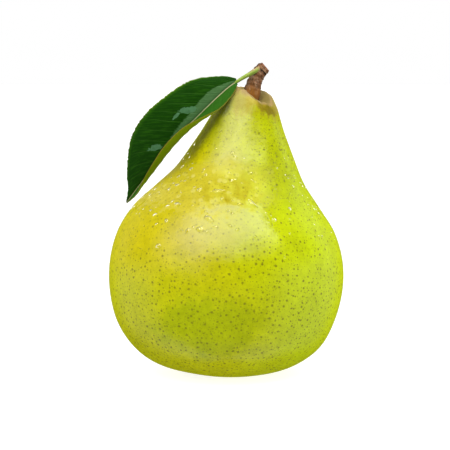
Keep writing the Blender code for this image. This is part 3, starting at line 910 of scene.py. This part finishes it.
# %% Stem finish
BROWN = (0.215, 0.088, 0.028)
DARK = (0.045, 0.02, 0.007)
GREY_TAN = (0.36, 0.205, 0.11)
ORANGE = (0.38, 0.145, 0.01)
RED = (0.3, 0.085, 0.03)
CRACK_BLACK = (0.012, 0.007, 0.004)
bark = new_finish("stem_bark")
place, _ = bark.place()
at, around_stem, _ = bark.attribute("stem_place")
patch = bark.noise(place, 1.6, seed=1)
thread = bark.noise(place, 0.7, 4, 0.65, stretch=(1.6, 1.6, 0.5), seed=2)
speck = bark.noise(place, 0.45, 2, seed=5)
full_turn = around_stem * (2 * math.pi)
ring = at * RING_TURNS + (full_turn + 1).sine() * 2.2 + (full_turn * 2).sine() * 1.2
ring = (ring + (patch - 0.5) * 6).sine() + (thread - 0.5) * 2.4
ringed = at.rise(0.36, 0.48)
# Painted shade in the grooves of the rings.
groove_shade = ring.rise(-0.1, -0.9) * ringed
ridge = ring.rise(0.4, 1) * ringed * at.rise(0.92, 0.84)
foot = at.rise(0.6, 0.38)
# Painted shade on the stem's two flanks.
painted_side_shade = around_stem.between(0.38, 0.46, 0.52, 0.64) * 0.75 + around_stem.rise(0.88, 0.97) * 0.6
crack = abs(at - 0.8 - around_stem * 0.1 + (thread - 0.5) * 0.05)
crack = crack.rise(0.022, 0.008) * around_stem.rise(0.64, 0.7)
colour = bark.coats(
    BROWN, (patch.rise(0.47, 0.6) * 0.95, GREY_TAN), (thread.rise(0.5, 0.64) * 0.75, DARK),
    (groove_shade * (0.05 + patch * 0.6), DARK), (ridge * patch * 0.5, GREY_TAN),
    (foot * (thread * 1.9 - 0.35), ORANGE), (speck.rise(0.62, 0.7) * 0.7, RED),
    (painted_side_shade, DARK), (at.rise(0.95, 1) * 0.6, RED), (crack * 0.85, CRACK_BLACK))
bark.on(stem, {
    "Base Color": colour,
    "Roughness": 0.55 + thread * 0.2,
    "Specular IOR Level": 0.3,
    "Normal": bark.bump(thread * 0.8 + patch * 0.6 + speck * 0.2, 0.25),
})

# %% [markdown]
# ## Leaf
#
# The upper face is deep green with fine threads between the veins.  Beside the midrib a
# painted sheen lightens it, under a clear coat there, and the wet patches get a paler
# green as painted reflection, under a coat that shines.  A painted shade darkens the groove
# beside the midrib.  The folded half is lighter and the underside yellow-green.  One
# material serves both faces: an attribute says where on the blade, and on which face, a
# point is.
# %% Leaf pattern
leaf = new_finish("leaf_green")
place, (px, _, pz) = leaf.place()
at, over, under = leaf.attribute("leaf_place")
from_rib = abs(leaf.attribute("leaf_span")[0])
size = abs(over)
near_half = over.rise(-0.001, 0.001)
far_half = 1 - near_half
mottle = leaf.noise(place, 3, seed=5)
fine = leaf.noise(place, 0.5, 3, 0.6, seed=6)
ripple = leaf.noise(place, 1.3, 3, 0.65, seed=12) - 0.5
run = at - size * (VEIN_SWEEP / VEINS)
threads = leaf.node("CombineXYZ", {}, {0: run * LEAF_LENGTH, 1: size * 1.6 + near_half * 9})
thread = leaf.noise(threads, 0.46, 3, 0.6)
phase = at * VEINS - size * VEIN_SWEEP + size * size * VEIN_CURL + near_half * 0.25
wave = leaf.math("PINGPONG", phase, 0.5) * 2
vein = wave.rise(0.9, 0.99) * size.rise(0.98, 0.6)
beside = size * 2.2 + at * 1.5 + (thread - 0.5) * 0.34 + (mottle - 0.5) * 0.2
# Painted sheen: the open half beside the midrib is lightened as if it caught the light; the same
# mask gives it a coat.
sheen_painted_and_coated = beside.rise(0.98, 0.9) * far_half * (1 - under)
# Wet patches: their paler green is a painted reflection; the same mask gives them a shining coat.
wet_painted_and_coated = oval(px, pz - (px + 12.2) * 0.18, -12, 84.1, 3, 1.05)
wet_painted_and_coated = wet_painted_and_coated.least(oval(px, pz - (px + 22.6) * 0.28, -22.6, 71.9, 2.5, 1))
wet_painted_and_coated = wet_painted_and_coated.least(oval(px, pz - (px + 15.8) * 0.9, -15.8, 82.2, 1.3, 0.7))
wet_painted_and_coated = (wet_painted_and_coated + ripple * 3.2).rise(1.02, 0.88) * (1 - under) * (0.85 + ripple)
rib = from_rib - (0.15 - at * 0.1)
far_line = size.rise(0.955, 0.985) * far_half * at.rise(0.55, 0.3)

# %% Leaf colour and gloss
TOP_GREEN = (0.007, 0.05, 0.0008)
TOP_LIGHT = (0.02, 0.1, 0.0022)
VEIN_GREEN = (0.06, 0.19, 0.015)
NEAR_GREEN = (0.034, 0.14, 0.01)
PAINTED_SHEEN_GREEN = (0.085, 0.205, 0.062)
PAINTED_SHEEN_THREAD = (0.14, 0.28, 0.12)
WET_REFLECTION_GREEN = (0.095, 0.25, 0.105)
MARGIN_GREEN = (0.045, 0.17, 0.004)
LINE_GREEN = (0.15, 0.31, 0.01)
RIB_PAINTED_SHADE = (0.012, 0.045, 0.004)
MIDRIB = (0.48, 0.46, 0.24)
UNDER_GREEN = (0.225, 0.34, 0.003)
UNDER_DEEP = (0.13, 0.23, 0.002)
UNDER_VEIN = (0.33, 0.42, 0.03)
EDGE_BROWN = (0.3, 0.2, 0.03)
top = leaf.coats(
    TOP_GREEN,
    (thread.rise(0.46, 0.66) * 0.75, TOP_LIGHT),
    (vein * 0.3, VEIN_GREEN),
    (near_half * (0.45 + mottle * 0.5 + fine * 0.4), NEAR_GREEN),
    (sheen_painted_and_coated * (0.6 - size * 0.4 + thread * 0.6), PAINTED_SHEEN_GREEN),
    (sheen_painted_and_coated * thread.rise(0.5, 0.7) * 0.5, PAINTED_SHEEN_THREAD),
    (wet_painted_and_coated, WET_REFLECTION_GREEN),
    (size.rise(0.86, 0.99) * far_half * 0.45, MARGIN_GREEN),
    (far_line * 0.7, LINE_GREEN),
    # painted shade in the groove beside the midrib
    (rib.rise(0.55, 0.12) * 0.45, RIB_PAINTED_SHADE),
    (rib.rise(0.1, 0) * 0.9, MIDRIB))
below = leaf.coats(UNDER_GREEN, (at.rise(0.15, 0.75) * 0.8, UNDER_DEEP),
                   (vein * 0.3 + fine * 0.15, UNDER_VEIN))
edge = size.rise(0.972, 0.995) * (0.35 + near_half * 0.5)
leaf.on(blade, {
    "Base Color": leaf.coats(top, (under, below), (edge, EDGE_BROWN)),
    "Roughness": 0.36 + fine * 0.14 + under * 0.15,
    "Specular IOR Level": 0.06,
    "Coat Weight": (sheen_painted_and_coated * (0.15 + thread + ripple * 0.8)).most(wet_painted_and_coated),
    "Coat Roughness": 0.2,
    "Normal": leaf.bump(vein * -0.6 + fine * 0.3 + thread * 0.9, 0.07),
})

# %% [markdown]
# ## Stalk, dried flower and water
#
# The stalk is green, with a tan sheath where it grips the stem.  The sepals are dry brown
# crumbs.  Water needs no colour: what shows is how it bends and reflects the room.

# %% Stalk finish
STALK_DEEP, STALK_LIGHT = (0.2, 0.32, 0.02), (0.34, 0.46, 0.06)
SHEATH_TAN = (0.42, 0.27, 0.12)
GRIP_BROWN = (0.23, 0.095, 0.03)
stalk_green = new_finish("leaf_stalk_green")
place, (px, _, pz) = stalk_green.place()
at = stalk_green.attribute("stalk_place")[0]
mottle = stalk_green.noise(place, 1.5, seed=8)
upper = (pz + px * -0.62 + mottle * 0.5).rise(91.15, 91.75)
from_stem = at + mottle * 0.06
sheath = from_stem.rise(0.27, 0.17).most(upper * at.rise(0.45, 0.25))
colour = stalk_green.coats(
    STALK_DEEP, (mottle, STALK_LIGHT), (sheath * 0.9, SHEATH_TAN),
    (from_stem.rise(0.19, 0.11) * 0.8, GRIP_BROWN))
stalk_green.on(stalk, {
    "Base Color": colour,
    "Roughness": 0.42 + mottle * 0.1,
    "Normal": stalk_green.bump(mottle, 0.05),
})

# %% Calyx and water finishes
sepals = new_finish("dried_sepals")
crumple = sepals.noise(sepals.place()[0], 0.7, 4, 0.6)
sepals.on(calyx, {
    "Base Color": sepals.mix(crumple, (0.035, 0.02, 0.01), (0.22, 0.14, 0.07)),
    "Roughness": 0.85,
    "Normal": sepals.bump(crumple, 0.25),
})
new_finish("water").on(water, {
    "Base Color": (1, 1, 1), "Roughness": 0, "IOR": 1.3, "Transmission Weight": 1,
})
water.visible_shadow = water.visible_diffuse = blade.visible_glossy = False

# %% [markdown]
# ## Which piece is which
#
# Each fine piece rides on the one body of the model and takes the place of a solid one.
# The blade and its stalk grew as one, so both replace the leaf; the water only lies there.

# %% Tie the pieces to the model
for piece, node, slot in (
    (fruit, "pear_body", "pear_body"), (stem, "stem", "stem"), (blade, "leaf", "leaf"),
    (stalk, "leaf", "leaf"), (calyx, "calyx", "calyx"),
):
    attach(piece, "root")
    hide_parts(node)
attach(water, "root")

# %% [markdown]
# ## Table and lamp
#
# The table is a white sheet that shines a little by itself, so that it stays white from
# every side.  One large lamp, high on the left of the camera, gives the fruit its form.

# %% Floor
TABLE_CORNERS = [(-3, -3, 0), (3, -3, 0), (3, 3, 0), (-3, 3, 0)]
floor_mesh = bpy.data.meshes.new("floor")
floor_mesh.from_pydata(TABLE_CORNERS, [], [(0, 1, 2, 3)])
floor = new_object("floor", floor_mesh)
new_finish("white_table").on(floor, {
    "Base Color": (0.35, 0.35, 0.35), "Roughness": 0.8,
    "Emission Color": (1, 1, 1), "Emission Strength": 0.84})
floor.visible_glossy = floor.visible_diffuse = floor.visible_shadow = False

# %% Lamp
def stand(item, target, distance, turned, raised):
    """Stand a lamp or camera away from a point, turned and raised in degrees, facing it."""
    turned, raised = math.radians(turned), math.radians(raised)
    way = Vector((math.sin(turned) * math.cos(raised), -math.cos(turned) * math.cos(raised),
                  math.sin(raised)))
    item.location = Vector(target) + way * distance
    item.rotation_euler = way.to_track_quat("Z", "Y").to_euler()


LAMP_SIDE, RADIANCE = 0.75, 3
lamp_data = bpy.data.lights.new("key_softbox", "AREA")
lamp_data.size = LAMP_SIDE
lamp_data.energy = RADIANCE * math.pi * LAMP_SIDE**2
key = new_object("key_softbox", lamp_data)
stand(key, (0, 0, 0.05), distance=0.8, turned=-12, raised=50)
key.visible_glossy = False
# %% [markdown]
# ## The studio round the pear
#
# The world holds two rooms.  One lights the pear softly, most from behind at both sides.
# The other is what the wax reflects: a wide softbox above the camera that fades to the
# left, pale walls and a dark camera side.  Far round behind the pear it turns warm, like
# the light that passes through the skin at the very rim.
# %% Light that falls on the pear
WHITE = (1, 1, 1)
DEGREES = 180 / math.pi
studio = bpy.data.worlds.new("studio")
bpy.context.scene.world = studio
air = Finish(studio, "Background")
wx, wy, wz = air.node("TexCoord", {}, {}, output="Generated").parts()
glow = 0.3 + abs(wx).rise(0.1, 0.8) * wy.rise(-0.9, 0.2) * 0.55 + wz.rise(0.2, 0.9) * 0.1
behind_right = wx.rise(0.2, 0.7) * wy.rise(0.2, 0.7) * wz.rise(-0.2, 0.3)
behind_left = wx.rise(0, -0.5) * wy.rise(0.3, 0.8) * wz.rise(-0.4, 0.2)
glow = glow + behind_right * 5.6 + behind_left * 3.9
off_floor = 0.76 + wy.rise(0.3, 0.8) * 0.8
glow = glow + wz.rise(0, -0.04) * (off_floor - glow)

# %% What the wax reflects
past_top = wz.rise(0.85, 0.97) * 0.22    # joins left and right softly straight overhead
azimuth = air.math("ARCTAN2", wx, past_top - wy) * DEGREES
elevation = air.math("ARCSINE", wz) * DEGREES
tilted = elevation - azimuth.most(0) * 0.1
right_end = azimuth - (elevation - 45).most(0) * 0.6
overhead = tilted.rise(16, 56) * azimuth.rise(-115, -30) * right_end.rise(73, 66)
overhead = overhead * (1 - elevation.rise(62, 42) * azimuth.rise(-30, -75) * 0.6)
low_left = azimuth.between(-95, -55, -35, -5) * elevation.between(-2, 24, 40, 60)
left_top = elevation + (azimuth * -1 - 95).most(0) * 0.3
right_top = elevation + (azimuth - 95).most(0) * 0.3
walls = azimuth.between(-150, -112, -88, -62) * left_top.rise(12, 0)
walls = walls + azimuth.between(32, 66, 118, 176) * right_top.rise(20, 4)
far_round = abs(azimuth).rise(96, 150) * elevation.rise(62, 30)
upper_left = azimuth.rise(0, -10) * elevation.rise(2, 25)
rim_light = far_round * elevation.rise(-50, 0) * (1 - upper_left * 0.85)
reflected = overhead * 5.2 + low_left * 1.4 + walls * 0.42 + rim_light * 0.4
reflected = reflected + elevation.rise(-40, -62) * 0.19 + 0.02

# %% Which picture a ray sees
WATER_WARM = (1, 0.93, 0.42)
RIM_YELLOW = (0.95, 1, 0.05)
in_view, in_gloss, through_water, off_water = (
    air.node("LightPath", {}, {}, output=f"Is {kind} Ray")
    for kind in ("Camera", "Glossy", "Transmission", "Singular"))
lamp = azimuth.between(-45, -25, -8, 12) * elevation.between(38, 48, 62, 74)
reflected = reflected + off_water * (0.45 + lamp * 12)
in_gloss = in_gloss * (1 - through_water)
glow = glow + in_gloss * (reflected - glow)
tint = air.coats(WHITE, (off_water * in_gloss * (1 - lamp), WATER_WARM),
                 (far_round * in_gloss * (1 - off_water), RIM_YELLOW))
air.ends({"Color": tint, "Strength": glow + in_view * (1 - glow)})

# %% [markdown]
# ## The camera
#
# A long lens from a little above, as for a packshot, keeps the pear's sides nearly parallel.

# %% Camera
camera_data = bpy.data.cameras.new("camera")
camera_data.lens, camera_data.sensor_width = 150, 36
camera_data.clip_start = 0.01
camera = new_object("camera", camera_data)
stand(camera, (-0.0003, 0, 0.0472), distance=0.6, turned=0, raised=6)
bpy.context.scene.camera = camera
bpy.context.scene.view_settings.view_transform = "Standard"
